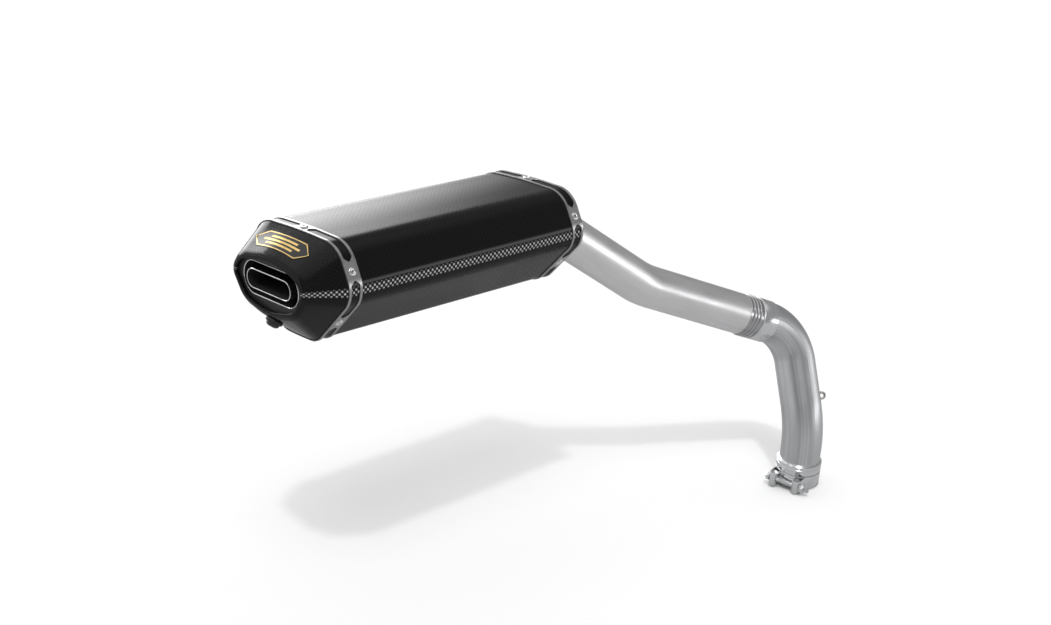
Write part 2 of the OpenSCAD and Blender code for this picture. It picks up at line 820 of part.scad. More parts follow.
// Thin plate that follows the cap's top face, narrower at its front and back edges.
module badge() {
  badge_t = 0.4;
  clear = 0.25;
  badge_half = 46;
  shoulder = 32;
  x_mid = 20;
  x_half = 10;
  n = 7;
  m = 17;
  grid = [
    for (lift = [clear + badge_t, clear], i = [0 : n - 1], j = [0 : m - 1])
      let (
        u = 2 * i / (n - 1) - 1, x = x_mid + x_half * u,
        y = (badge_half - (badge_half - shoulder) * abs(u)) * (2 * j / (m - 1) - 1)
      )
      [x, y, cap_top(x, y) + lift]
  ];
  low = n * m;
  quads = concat(
    [
      for (i = [0 : n - 2], j = [0 : m - 2])
        let (a = i * m + j)
        each [[a, a + 1, a + m + 1, a + m], [low + a, low + a + m, low + a + m + 1, low + a + 1]]
    ],
    [
      for (i = [0 : n - 2])
        let (a = i * m, b = a + m - 1)
        each [[a, a + m, low + a + m, low + a], [b + m, b, low + b, low + b + m]]
    ],
    [
      for (a = [0 : m - 2])
        let (b = a + low - m)
        each [[a + 1, a, low + a, low + a + 1], [b, b + 1, low + b + 1, low + b]]
    ]
  );
  color("#c9a44a") in_muffler()
    polyhedron(grid, [for (q = quads) each [[q[0], q[1], q[2]], [q[0], q[2], q[3]]]]);
}

elbow_pipe();
socket_collar();
slip_collar();
joint_seal();
spring_hook();
clamp_band();
clamp_bridge();
clamp_trunnions();
clamp_bolt();
clamp_nut();
upper_pipe();
joint_ring();
inlet_spigot();
front_cap();
front_band();
front_band_seal();
front_band_rivets();
front_plate();
outer_sleeve();
perforated_core();
packing_wool();
baffle_plate();
rear_plate();
rear_band();
rear_band_seal();
rear_band_rivets();
rear_cap();
outlet_faceplate();
outlet_tube();
screw_boss();
badge();
noise_insert();
insert_diffuser();
screw_grommet();
insert_screw();
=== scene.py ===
"""A slip-on racing exhaust: carbon muffler, bent steel pipe, swivel joint and clamped socket."""

import math

import bmesh
import bpy
import numpy as np
from mathutils import Matrix, Vector


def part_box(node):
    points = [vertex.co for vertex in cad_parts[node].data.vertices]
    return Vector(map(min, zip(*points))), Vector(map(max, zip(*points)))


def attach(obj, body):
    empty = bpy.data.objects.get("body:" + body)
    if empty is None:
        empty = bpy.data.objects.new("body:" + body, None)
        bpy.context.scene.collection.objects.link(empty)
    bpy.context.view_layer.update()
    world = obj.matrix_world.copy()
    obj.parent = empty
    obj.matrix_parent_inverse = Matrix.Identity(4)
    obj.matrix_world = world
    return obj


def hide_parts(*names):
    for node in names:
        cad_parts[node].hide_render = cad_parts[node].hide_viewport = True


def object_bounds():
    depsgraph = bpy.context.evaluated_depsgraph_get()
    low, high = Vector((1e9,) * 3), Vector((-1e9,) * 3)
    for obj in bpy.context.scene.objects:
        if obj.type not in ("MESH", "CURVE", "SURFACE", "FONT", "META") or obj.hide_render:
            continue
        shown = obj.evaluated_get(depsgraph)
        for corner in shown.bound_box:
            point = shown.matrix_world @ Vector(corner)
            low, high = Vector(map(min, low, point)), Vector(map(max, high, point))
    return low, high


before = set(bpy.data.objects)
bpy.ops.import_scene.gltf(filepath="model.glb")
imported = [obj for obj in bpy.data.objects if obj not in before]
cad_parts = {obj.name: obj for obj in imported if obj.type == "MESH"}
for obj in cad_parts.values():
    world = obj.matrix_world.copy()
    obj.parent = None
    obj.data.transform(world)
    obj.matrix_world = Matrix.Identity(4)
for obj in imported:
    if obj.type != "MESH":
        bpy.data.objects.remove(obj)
CAD_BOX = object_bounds()
MM = 0.001

# ---- sizes, in millimetres as in the part's source ----
PIPE_R = 27.0
PIPE_WALL = 1.5

# The pipe's route from the inlet up: straight legs, and bends as (angle, heading of their side) in degrees.
SOCKET_LEAN = (5.0, -2.1)
LEG_1 = 47.5
LOWER_BEND_R, LOWER_BEND = 120.0, (30.8, 66.5)
LEG_2 = 55.5
ELBOW_R, ELBOW_BEND = 60.0, (72.7, 169.3)
LEG_3 = 190.5
UPPER_BEND_R, UPPER_BEND = 130.0, (14.0, -52.9)
LEG_4 = 171.8
ELBOW_START = 36.0

# The joint's parts, by their distance past the end of the elbow's bend.
SLIP_START, SLIP_LEN, SLIP_R = 0.5, 24.0, 28.3
ELBOW_END = 4.5
SPIGOT_END = 6.5
RING_START, RING_LEN = 24.8, 21.0

CLAMP_W = 19.0
CLAMP_ANGLE = 188.0
SOCKET_R, SOCKET_WALL_R, SOCKET_DEPTH = 27.1, 28.7, 34.0
COLLAR_R, COLLAR_H = 29.8, 14.0
MUFFLER_LEN = 340.0
CAP_LEN = 40.0
BAND_W = 17.0
SLEEVE_WALL = 1.6
SEAM = 0.3
SEAL_T, BAND_T = 0.3, 1.0
LIP_W = 7.0
OUTLET_W, OUTLET_H, OUTLET_WALL = 97.0, 38.0, 1.2
INSERT_W, INSERT_H = 77.0, 22.0
OUTLET_Z = -2.0
HALF_W = 84.5
TOP, BOTTOM = 50.0, 67.0

# Half outlines from top to bottom: across, up and corner radius of each corner.
BODY_HALF = [
    (0, TOP, 700), (0.777 * HALF_W, TOP - 2.2, 33), (1.077 * HALF_W, -2.4, 28),
    (0.345 * HALF_W, 0.9 - BOTTOM, 24), (0, -BOTTOM, 500),
]
LIP_HALF = [(0, 31, 120), (50, 21, 30), (66, 1, 14), (46, -28, 30), (0, -39, 90)]
NECK_HALF = [(0, 44, 60), (37, 32, 26), (48, -4, 22), (32, -37, 26), (0, -47, 60)]

LIP_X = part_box("rear_cap")[0].x / MM
SLEEVE_LOW, SLEEVE_HIGH = (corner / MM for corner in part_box("outer_sleeve"))
AXIS_Y = (SLEEVE_LOW.y + SLEEVE_HIGH.y) / 2
AXIS_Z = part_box("rear_band_seal")[0].z / MM + BOTTOM
FRONT_BAND_X = CAP_LEN + MUFFLER_LEN - BAND_W
SLEEVE_FROM, SLEEVE_TO = CAP_LEN + 2, FRONT_BAND_X + BAND_W - 2
SKIRT_INSET = SLEEVE_WALL + 0.05
OUTLET_END = CAP_LEN + BAND_W + 1


# ---- materials ----
class Nodes:
    """A node tree, with short names for the nodes that the materials and the world use."""

    def __init__(self, tree):
        self.nodes = tree.nodes
        self.links = tree.links

    def node(self, kind, inputs=(), **settings):
        node = self.nodes.new(kind)
        for key, value in settings.items():
            setattr(node, key, value)
        for socket, value in dict(inputs).items():
            if isinstance(value, bpy.types.NodeSocket):
                self.links.new(value, node.inputs[socket])
            else:
                node.inputs[socket].default_value = value
        return node

    def math(self, operation, a, b=0.0):
        return self.node("ShaderNodeMath", {0: a, 1: b}, operation=operation).outputs[0]

    def distance(self, value, middle):
        return self.math("ABSOLUTE", self.math("SUBTRACT", value, middle))

    def coordinates(self, kind):
        return self.node("ShaderNodeTexCoord").outputs[kind]

    def split(self, vector):
        return self.node("ShaderNodeSeparateXYZ", {0: vector}).outputs

    def spread(self, value, low, high, from_low=0.3, from_high=0.7, curve="LINEAR"):
        """Maps from_low to low and from_high to high."""
        inputs = {"Value": value, "From Min": from_low, "From Max": from_high, "To Min": low, "To Max": high}
        return self.node("ShaderNodeMapRange", inputs, interpolation_type=curve).outputs[0]

    def mix(self, share, a, b):
        return self.node("ShaderNodeMix", {"Factor": share, 2: a, 3: b}).outputs[0]

    def tint(self, share, dark, light):
        """A mix of two colours. dark may also be a socket."""
        first = dark if isinstance(dark, bpy.types.NodeSocket) else (*dark, 1)
        inputs = {"Factor": share, 6: first, 7: (*light, 1)}
        return self.node("ShaderNodeMix", inputs, data_type="RGBA").outputs[2]

    def glossy_ray(self):
        return self.node("ShaderNodeLightPath").outputs["Is Glossy Ray"]


class Paint(Nodes):
    """A Principled material."""

    def __init__(self, name, color, roughness, metallic=0.0, **sockets):
        self.material = bpy.data.materials.new(name)
        self.material.use_nodes = True
        super().__init__(self.material.node_tree)
        self.shader = self.nodes["Principled BSDF"]
        self.shader.inputs["Base Color"].default_value = (*color, 1)
        self.shader.inputs["Roughness"].default_value = roughness
        self.shader.inputs["Metallic"].default_value = metallic
        for socket, value in sockets.items():
            self.shader.inputs[socket.replace("_", " ")].default_value = value

    def stretched(self, kind, scale):
        vector = self.coordinates(kind)
        return self.node("ShaderNodeMapping", {"Vector": vector, "Scale": scale}).outputs[0]

    def noise(self, vector, scale, detail=2.0, rough=0.5):
        inputs = {"Vector": vector, "Scale": scale, "Detail": detail, "Roughness": rough}
        return self.node("ShaderNodeTexNoise", inputs).outputs["Fac"]

    def into(self, socket, value):
        self.links.new(value, self.shader.inputs[socket])

    def vary(self, color, share, noise, roughness, low, high):
        """Sets the colour, from a share of it up to all of it, and the roughness, both by noise."""
        dark = tuple(c * share for c in color)
        self.into("Base Color", self.tint(self.spread(noise, 0, 1), dark, color))
        self.into("Roughness", self.math("ADD", self.spread(noise, low, high), roughness))

    def bump(self, height, distance, strength, socket="Normal"):
        inputs = {"Height": height, "Distance": distance, "Strength": strength}
        self.into(socket, self.node("ShaderNodeBump", inputs).outputs[0])


def carbon(corners):
    """Carbon cloth under a clear coat. UV is in metres, U round the muffler and V along it.
    The cross fibres are painted bright and metallic as a painted highlight, most of all on the side corners,
    at the distances round that corners lists."""
    tow = 0.003
    painted_glint_full, painted_glint_none = 0.002, 0.0055
    painted_glint = 0.004
    black, painted_glint_color = (0.002, 0.002, 0.002), (0.95, 0.96, 0.98)
    paint = Paint("carbon", black, 0.3, 0.0, Coat_Weight=0.5, Coat_Roughness=0.03, Coat_IOR=1.45, IOR=1.08)
    uv = paint.split(paint.coordinates("UV"))
    around = paint.math("DIVIDE", uv[0], tow)
    along = paint.math("DIVIDE", uv[1], tow)
    step = paint.math("SUBTRACT", paint.math("FLOOR", around), paint.math("FLOOR", along))
    weft = paint.math("LESS_THAN", paint.math("FLOORED_MODULO", step, 2.0), 0.5)
    warp_height = paint.math("SINE", paint.math("MULTIPLY", paint.math("FRACT", around), math.pi))
    weft_height = paint.math("SINE", paint.math("MULTIPLY", paint.math("FRACT", along), math.pi))
    height = paint.mix(weft, warp_height, weft_height)
    fibres = paint.noise(paint.stretched("UV", (900, 900, 1)), 1.0)
    # Painted highlight: its weight is small everywhere and full near each side corner.
    for corner in corners:
        away = paint.distance(uv[0], corner * MM)
        painted_glint = paint.math("ADD", painted_glint, paint.spread(away, 1.0, 0.0, painted_glint_full, painted_glint_none))
    dome = paint.math("MULTIPLY", warp_height, weft_height)
    painted_glint_dots = paint.math("MULTIPLY", paint.math("MULTIPLY", weft, dome), painted_glint)
    paint.into("Metallic", painted_glint_dots)
    # Painted highlight: the dots get a near-white colour where the painted glint is strong.
    bright = paint.math("MULTIPLY", painted_glint_dots, paint.spread(fibres, 0.6, 1.0))
    paint.into("Base Color", paint.tint(bright, black, painted_glint_color))
    paint.into("Roughness", paint.spread(fibres, 0.24, 0.34))
    paint.bump(height, distance=0.00016, strength=0.3)
    ripple = paint.noise(paint.coordinates("Object"), 55.0, 1.0)
    paint.bump(ripple, distance=0.0004, strength=0.05, socket="Coat Normal")
    return paint.material


def brushed(name, color, roughness, stretch, tone=0.1, kind="UV", seams=()):
    """Brushed steel: stretch is the grain's density across and along. seams are the angles round
    a pipe where a thin painted highlight, a near-white line in the colour, runs along each seam."""
    broader = 14
    painted_seam_highlight, line_half, line_edge = 0.55, 0.00015, 0.0006
    paint = Paint(name, color, roughness, 1.0)
    grain = paint.noise(paint.stretched(kind, stretch), 1.0, 3.0, 0.6)
    broad = paint.noise(paint.stretched(kind, tuple(s / broader for s in stretch)), 1.0)
    smudge = paint.noise(paint.coordinates("Object"), 24.0, 3.0)
    streaks = paint.math("ADD", paint.math("MULTIPLY", grain, 0.4), paint.math("MULTIPLY", broad, 0.6))
    dark = tuple(c * (1 - tone) for c in color)
    light = tuple(min(1, c * (1 + tone)) for c in color)
    shade = paint.tint(paint.spread(streaks, 0, 1), dark, light)
    if seams:
        u = paint.split(paint.coordinates("UV"))[0]
        # Painted highlight: a near-white line along each seam, standing in for the light its ridge catches.
        line = 0.0
        for angle in seams:
            away = paint.distance(u, math.radians(angle) * PIPE_R * MM)
            line = paint.math("MAXIMUM", line, paint.spread(away, painted_seam_highlight, 0.0, line_half, line_edge))
        shade = paint.tint(line, shade, (0.95, 0.95, 0.96))
    paint.into("Base Color", shade)
    lift = paint.math("ADD", paint.spread(streaks, -0.05, 0.05), paint.spread(smudge, -0.04, 0.04))
    paint.into("Roughness", paint.math("ADD", lift, roughness))
    paint.bump(streaks, distance=0.00006, strength=0.5)
    return paint.material


def polished(name, color, roughness):
    paint = Paint(name, color, roughness, 1.0)
    scratches = paint.noise(paint.stretched("Object", (3000, 500, 500)), 1.0)
    paint.vary(color, 0.88, paint.noise(paint.coordinates("Object"), 60.0, 3.0), roughness, -0.04, 0.07)
    paint.bump(scratches, distance=0.00003, strength=0.35)
    return paint.material


def matt(name, color, roughness, grain, depth, sheen=0.0):
    """grain is the speckle's density and depth its relief, in metres."""
    paint = Paint(name, color, roughness, 0.0, Sheen_Weight=sheen)
    speckle = paint.noise(paint.coordinates("Object"), grain, 4.0, 0.65)
    paint.vary(color, 0.7, speckle, roughness, -0.08, 0.08)
    paint.bump(speckle, distance=depth, strength=0.6)
    return paint.material


# Angles round the lower pipe, in degrees.
LOWER_SEAMS = (214, 232, 256, 100)
UPPER_STEEL = brushed("upper_steel", (0.82, 0.82, 0.83), 0.36, (1500, 260, 1), 0.06)
LOWER_STEEL = brushed("lower_steel", (0.60, 0.61, 0.625), 0.38, (1500, 12, 1), 0.24, seams=LOWER_SEAMS)
BAND_STEEL = brushed("band_steel", (0.42, 0.42, 0.43), 0.3, (400, 900, 400), 0.12, "Object")
RING_STEEL = brushed("ring_steel", (0.5, 0.5, 0.51), 0.2, (30, 3000, 1), 0.2)
INNER_STEEL = brushed("inner_steel", (0.5, 0.49, 0.47), 0.36, (300, 900, 300), 0.1, "Object")
BRIGHT = polished("polished_steel", (0.86, 0.87, 0.88), 0.13)
TURNED = brushed("turned_steel", (0.80, 0.81, 0.82), 0.2, (30, 3000, 1), 0.08)
DARK_STEEL = matt("blackened_steel", (0.012, 0.012, 0.012), 0.55, 700.0, 0.00004)
RUBBER = matt("black_rubber", (0.012, 0.012, 0.012), 0.5, 900.0, 0.00008)
# Near black for tube insides, the insert's seat flange and rivet holes: painted shade where little light
# reaches.
PAINTED_SHADE = matt("painted_shade", (0.006, 0.006, 0.006), 0.85, 500.0, 0.0001)
GRAPHITE = matt("graphite", (0.03, 0.03, 0.033), 0.6, 1200.0, 0.00004)
WOOL = matt("glass_wool", (0.72, 0.64, 0.44), 0.95, 300.0, 0.001, 0.3)
PLASTIC = matt("black_plastic", (0.014, 0.014, 0.014), 0.32, 1500.0, 0.00003)
LACQUER = matt("badge_black", (0.008, 0.008, 0.008), 0.2, 800.0, 0.00002)
GOLD = polished("badge_gold", (0.80, 0.56, 0.20), 0.3)


# ---- building meshes ----
class Shape:
    """Collects rings of points into one mesh. Points are in millimetres in the shared frame."""

    def __init__(self):
        self.points = []
        self.faces = []
        self.corners = []
        self.paints = []

    def grid(self, rings, paint=0, around=True, closed=False, ends=False):
        """Joins each ring to the next, and with closed the last to the first. around joins each ring's
        last point to its first, and ends puts a flat face on the first and last ring."""
        rings = [np.asarray(r, float) for r in rings]
        n = len(rings[0])
        start = len(self.points)
        self.points.extend(p for r in rings for p in r)
        lengths = [np.linalg.norm(np.roll(r, -1, 0) - r, axis=1) for r in rings]
        widest = max(lengths, key=lambda steps: steps.sum())
        u = np.concatenate([[0], np.cumsum(widest)]) * MM
        reach = [np.linalg.norm(b - a, axis=1).mean() for a, b in zip(rings, rings[1:] + rings[:1])]
        v = np.concatenate([[0], np.cumsum(reach)]) * MM
        last = len(rings) if closed else len(rings) - 1
        for j in range(last):
            a, b = start + j * n, start + ((j + 1) % len(rings)) * n
            for i in range(n if around else n - 1):
                k = (i + 1) % n
                self.faces.append((a + i, a + k, b + k, b + i))
                self.corners.extend((u[i + x], v[j + y]) for x, y in ((0, 0), (1, 0), (1, 1), (0, 1)))
                self.paints.append(paint)
        if ends:
            for ring, first in ((rings[0], start), (rings[-1], start + (len(rings) - 1) * n)):
                flat = ring - ring.mean(0)
                axis = 1 + int(np.argmin(np.ptp(flat, axis=0)[1:])) if np.ptp(flat[:, 0]) > 1 else 0
                self.faces.append(tuple(first + i for i in range(n)))
                self.corners.extend(np.delete(flat, axis, 1) * MM)
                self.paints.append(paint)

    def piece(self, name, body, paints, slot, replaces=(), sharp=38):
        """Makes the mesh and lets it ride a body. Edges sharper than sharp degrees stay hard."""
        mesh = bpy.data.meshes.new(name)
        mesh.from_pydata([tuple(float(c) * MM for c in p) for p in self.points], [], self.faces)
        layer = mesh.uv_layers.new(name="UVMap")
        layer.data.foreach_set("uv", [c for pair in self.corners for c in pair])
        for paint in paints:
            mesh.materials.append(paint)
        mesh.polygons.foreach_set("material_index", self.paints)
        shape = bmesh.new()
        shape.from_mesh(mesh)
        bmesh.ops.recalc_face_normals(shape, faces=shape.faces)
        shape.to_mesh(mesh)
        shape.free()
        mesh.shade_smooth()
        mesh.set_sharp_from_angle(angle=math.radians(sharp))
        obj = bpy.data.objects.new(name, mesh)
        bpy.context.scene.collection.objects.link(obj)
        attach(obj, body)
        if replaces:
            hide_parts(*replaces)


class Place:
    """A point on the pipe's route with two directions across it and one along it."""

    def __init__(self, at, x, y, z):
        self.at, self.x, self.y, self.z = (np.asarray(v, float) for v in (at, x, y, z))

    def step(self, distance):
        return Place(self.at + self.z * distance, self.x, self.y, self.z)

    def turned(self, at, axis, angle):
        return Place(at, *(turn(v, axis, angle) for v in (self.x, self.y, self.z)))

    def spin(self, degrees):
        return self.turned(self.at, self.z, math.radians(degrees))

    def bend(self, radius, bend, share=1.0):
        """The place a share of the way round a bend, which is its angle and the heading of its side."""
        angle, heading = math.radians(bend[0] * share), math.radians(bend[1])
        side = self.x * math.cos(heading) + self.y * math.sin(heading)
        at = self.at + side * radius * (1 - math.cos(angle)) + self.z * radius * math.sin(angle)
        return self.turned(at, np.cross(self.z, side), angle)

    def bent(self, radius, bend, steps):
        return [self.bend(radius, bend, k / steps) for k in range(1, steps + 1)]

    def point(self, x, y, z):
        return self.at + self.x * x + self.y * y + self.z * z

    def circle(self, radius, height=0.0, n=96):
        """radius may be a function of the angle."""
        angles = np.arange(n) * 2 * math.pi / n
        radii = np.array([radius(a) for a in angles]) if callable(radius) else np.full(n, radius)
        return [self.point(r * math.cos(a), r * math.sin(a), height) for r, a in zip(radii, angles)]


def turn(v, axis, angle):
    """v turned about a unit axis."""
    c, s = math.cos(angle), math.sin(angle)
    return v * c + np.cross(axis, v) * s + axis * np.dot(axis, v) * (1 - c)


def lathe(shape, place, profile, paint=0, n=96, closed=True):
    """profile is a list of (radius, height) round the section."""
    shape.grid([place.circle(r, h, n) for r, h in profile], paint, closed=closed)


X, Y, Z = np.eye(3)
LEAN_X, LEAN_Y = (math.radians(a) for a in SOCKET_LEAN)
SOCKET = Place((0, 0, 0), *(turn(turn(v, X, LEAN_X), Y, LEAN_Y) for v in (X, Y, Z)))
AFTER_LEG_1 = SOCKET.step(LEG_1)
AFTER_LOWER = AFTER_LEG_1.bend(LOWER_BEND_R, LOWER_BEND)
AFTER_LEG_2 = AFTER_LOWER.step(LEG_2)
JOINT = AFTER_LEG_2.bend(ELBOW_R, ELBOW_BEND)
AFTER_LEG_3 = JOINT.step(LEG_3)
AFTER_UPPER = AFTER_LEG_3.bend(UPPER_BEND_R, UPPER_BEND)
MITRE = AFTER_UPPER.step(LEG_4)


def between(place, low, high, steps):
    """Evenly spaced places along a straight, from low to high past the place."""
    return [place.step(low + (high - low) * k / steps) for k in range(steps + 1)]


def pipe(name, places, body, paint, slot, replaces, ridges=()):
    """A hollow pipe through the places. ridges are the angles of faint lengthwise seams, which are
    as wide as ridge_w, in radians."""
    ridge_h, ridge_w = 0.16, 0.022
    n = 240

    def radius(angle):
        gaps = [abs((angle - math.radians(r) + math.pi) % (2 * math.pi) - math.pi) for r in ridges]
        return PIPE_R + sum(ridge_h * math.exp(-((g / ridge_w) ** 2)) for g in gaps)

    shape = Shape()
    outer = [p.circle(radius, 0, n) for p in places]
    inner = [p.circle(PIPE_R - PIPE_WALL, 0, n) for p in reversed(places)]
    shape.grid(outer)
    shape.grid([outer[-1], inner[0]])
    # The pipe's inside is painted near black: painted shade.
    shape.grid(inner, 1)
    shape.grid([inner[-1], outer[0]])
    shape.piece(name, body, [paint, PAINTED_SHADE], slot, replaces)


def bead(name, body, paint, place, radius, height, size, ripples, tilt=None):
    """A weld bead round the pipe, with the small scales that a weld leaves."""
    sides, n = 8, 360
    swell, lag, breadth = 0.16, 1.4, 1.5
    shape = Shape()
    rings = []
    for k in range(sides):
        a = 2 * math.pi * k / sides
        points = []
        for i in range(n):
            angle = 2 * math.pi * i / n
            r = radius + size * (1 + swell * math.sin(ripples * angle + lag * math.sin(a))) * math.cos(a)
            h = height + breadth * size * math.sin(a) + (tilt(angle) if tilt else 0)
            points.append(place.point(r * math.cos(angle), r * math.sin(angle), h))
        rings.append(points)
    shape.grid(rings, closed=True)
    shape.piece(name, body, [paint], "brushed_steel")


# ---- pipes and joint ----
def build_pipes():
    into_cap = 12
    lower = between(SOCKET, ELBOW_START, LEG_1, 3) + AFTER_LEG_1.bent(LOWER_BEND_R, LOWER_BEND, 14)
    lower += between(AFTER_LOWER, 0, LEG_2, 6)[1:] + AFTER_LEG_2.bent(ELBOW_R, ELBOW_BEND, 28)
    lower += [JOINT.step(ELBOW_END)]
    pipe("elbow_tube", lower, "elbow", LOWER_STEEL, "brushed_steel", ["elbow_pipe"], LOWER_SEAMS)
    upper = between(JOINT, SPIGOT_END, LEG_3, 10) + AFTER_LEG_3.bent(UPPER_BEND_R, UPPER_BEND, 14)
    upper += between(AFTER_UPPER, 0, LEG_4 + into_cap, 8)[1:]
    pipe("muffler_tube", upper, "muffler", UPPER_STEEL, "brushed_steel", ["upper_pipe"])


def build_slip_collar():
    low, high = SLIP_START, SLIP_START + SLIP_LEN
    edge, fit = 0.5, PIPE_R + 0.05
    groove_from, groove_w, groove_depth = high - edge - 1.4, 0.4, 0.15
    bead("slip_collar_weld", "elbow", TURNED, JOINT, PIPE_R + 0.1, low - 0.3, 0.55, 90)
    collar = Shape()
    lathe(collar, JOINT, [
        (SLIP_R - edge, low), (SLIP_R, low + edge), (SLIP_R, low + 8), (SLIP_R, groove_from),
        (SLIP_R - groove_depth, groove_from + groove_w / 2), (SLIP_R, groove_from + groove_w),
        (SLIP_R, high - edge), (SLIP_R - edge, high), (fit, high), (fit, ELBOW_END),
        (PIPE_R, ELBOW_END), (PIPE_R, low),
    ], n=192)
    collar.piece("swivel_collar", "elbow", [TURNED], "polished_steel", ["slip_collar"])


def build_joint_ring():
    ridges, ridge_r, ridge_w = 3, 1.15, 1.2
    pitch, land, lip = RING_LEN / (ridges + 1), PIPE_R + 0.3, PIPE_R + 0.4
    end = RING_START + RING_LEN
    profile = [(PIPE_R, RING_START), (lip, RING_START)]
    for i in range(1, ridges + 1):
        centre = RING_START + i * pitch
        for degrees in range(0, 181, 15):
            a = math.radians(degrees)
            profile.append((land + ridge_r * math.sin(a) ** 0.8, centre - ridge_r * ridge_w * math.cos(a)))
    profile += [(lip, end), (PIPE_R, end)]
    ring_shape = Shape()
    lathe(ring_shape, JOINT, profile, n=192)
    ring_shape.piece("ridged_ring", "muffler", [RING_STEEL], "brushed_steel", ["joint_ring"], sharp=60)


# ---- inlet socket ----
def build_socket():
    base = CLAMP_W + 3
    top = base + COLLAR_H
    bevel, edge = 2.2, 0.2
    slit_top, slit_w, slits = CLAMP_W + 1, 3.0, 4
    groove, groove_depth = top - bevel - 4.4, 0.3
    inner_r, mouth = PIPE_R - PIPE_WALL, 0.3
    shape = Shape()
    lathe(shape, SOCKET, [
        (SOCKET_R, slit_top), (SOCKET_WALL_R, slit_top), (SOCKET_WALL_R, base - 0.8),
        (COLLAR_R - 0.6, base - 0.8), (COLLAR_R, base - edge), (COLLAR_R, groove),
        (COLLAR_R - groove_depth, groove + 0.3), (COLLAR_R - groove_depth, groove + 0.8),
        (COLLAR_R, groove + 1.1), (COLLAR_R, top - bevel - edge), (COLLAR_R - edge, top - bevel),
        (COLLAR_R - bevel + edge, top - edge), (COLLAR_R - bevel, top), (PIPE_R, top),
        (PIPE_R, ELBOW_START), (inner_r, ELBOW_START), (inner_r, SOCKET_DEPTH), (SOCKET_R, SOCKET_DEPTH),
    ], n=192)
    section = [(SOCKET_R + mouth, 0), (SOCKET_WALL_R - mouth, 0), (SOCKET_WALL_R, mouth),
               (SOCKET_WALL_R, slit_top), (SOCKET_R, slit_top), (SOCKET_R, mouth)]
    sector = 360 / slits
    half_slit = math.degrees(slit_w / 2 / SOCKET_WALL_R)
    for k in range(slits):
        first = (k + 0.5) * sector + half_slit
        angles = np.radians(np.linspace(first, first + sector - 2 * half_slit, 25))
        rings = [[SOCKET.point(r * math.cos(a), r * math.sin(a), h) for r, h in section] for a in angles]
        shape.grid(rings, ends=True)
    shape.piece("slotted_socket", "elbow", [TURNED], "polished_steel", ["socket_collar"])
    bead("socket_weld", "elbow", LOWER_STEEL, SOCKET, PIPE_R, top, 0.5, 100)


# ---- clamp ----
CLAMP = SOCKET.step(1.0).spin(CLAMP_ANGLE)
CLAMP_IN_R = SOCKET_WALL_R + 0.1
LOOP_X, LOOP_Y, PIN_R, STRAP = 35.0, 17.0, 4.6, 1.0
LOOP_R = PIN_R + STRAP
BOLT_R = 3.0
BOLT = Place(CLAMP.point(LOOP_X, 0, CLAMP_W / 2), CLAMP.x, -CLAMP.z, CLAMP.y)


def hexagon(across, limit):
    """Radius of a hexagon at each angle, cut down to a circle. across is half its width."""
    def radius(angle):
        off = (angle + math.pi / 6) % (math.pi / 3) - math.pi / 6
        return min(across / math.cos(off), limit)
    return radius


def hex_body(shape, place, low, high, across, bore=0.0):
    """A nut with a bore, or a bolt's head with a shallow dish. across is half the width."""
    corner = across / math.cos(math.pi / 6)
    cut, dish = 0.9, 0.5
    full, chamfered = hexagon(across, corner), hexagon(across, across * 0.97)
    rings = [place.circle(chamfered, low), place.circle(full, low + cut)]
    rings += [place.circle(full, high - cut), place.circle(chamfered, high)]
    if bore:
        hole = ((bore + dish, high), (bore, high - dish), (bore, low))
    else:
        hole = ((across * 0.6, high), (across * 0.5, high - dish))
    rings += [place.circle(r, h) for r, h in hole]
    shape.grid(rings, closed=bool(bore), ends=not bore)


def build_bolt():
    head_h, head_across, length = 4.0, 4.8, 62
    head_y = -LOOP_Y - LOOP_R - head_h
    end_y = head_y + length
    thread_from, pitch, depth, tip = -8.0, 1.0, 0.35, 0.4
    per_turn, n = 5, 32
    rings = [BOLT.circle(BOLT_R, head_y + head_h, n), BOLT.circle(BOLT_R, thread_from, n)]
    for k in range(int((end_y - thread_from - 0.6) / pitch * per_turn) + 1):
        h = thread_from + k * pitch / per_turn

        def radius(angle, h=h):
            phase = (h / pitch - angle / (2 * math.pi)) % 1
            return BOLT_R - depth * abs(2 * phase - 1)

        rings.append(BOLT.circle(radius, h, n))
    rings.append(BOLT.circle(BOLT_R - depth - tip, end_y, n))
    bolt = Shape()
    hex_body(bolt, BOLT, head_y, head_y + head_h, head_across)
    bolt.grid(rings, ends=True)
    bolt.piece("t_bolt", "clamp", [BRIGHT], "polished_steel", ["clamp_bolt"], sharp=30)


def build_nut():
    bore = BOLT_R + 0.06
    across, nut_h, washer_r, washer_h, edge = 5.0, 5, 6.2, 1, 0.2
    low = LOOP_Y + LOOP_R + 0.3
    nut = Shape()
    lathe(nut, BOLT, [
        (bore, low), (washer_r - edge, low), (washer_r, low + edge), (washer_r, low + washer_h - edge),
        (washer_r - edge, low + washer_h), (bore, low + washer_h),
    ], n=64)
    hex_body(nut, BOLT, low + washer_h, low + washer_h + nut_h, across, bore)
    nut.piece("hex_nut", "nut", [BRIGHT], "polished_steel", ["clamp_nut"], sharp=28)


def build_spot_welds():
    """Three shallow dimples on each side, where the strap is welded to itself."""
    dimple = [(1.5, -0.2), (1.45, 0.08), (1.1, 0.1), (0.9, -0.02), (0.3, -0.02), (0.3, -0.2)]
    spots = ((52, 5), (52, 14), (64, 9.5))
    welds = Shape()
    for side in (-1, 1):
        for angle, height in spots:
            spot = CLAMP.spin(side * angle)
            at = Place(spot.point(CLAMP_IN_R + STRAP, 0, height), spot.y, spot.z, spot.x)
            lathe(welds, at, dimple, n=24)
    welds.piece("clamp_spot_welds", "clamp", [BRIGHT], "polished_steel")


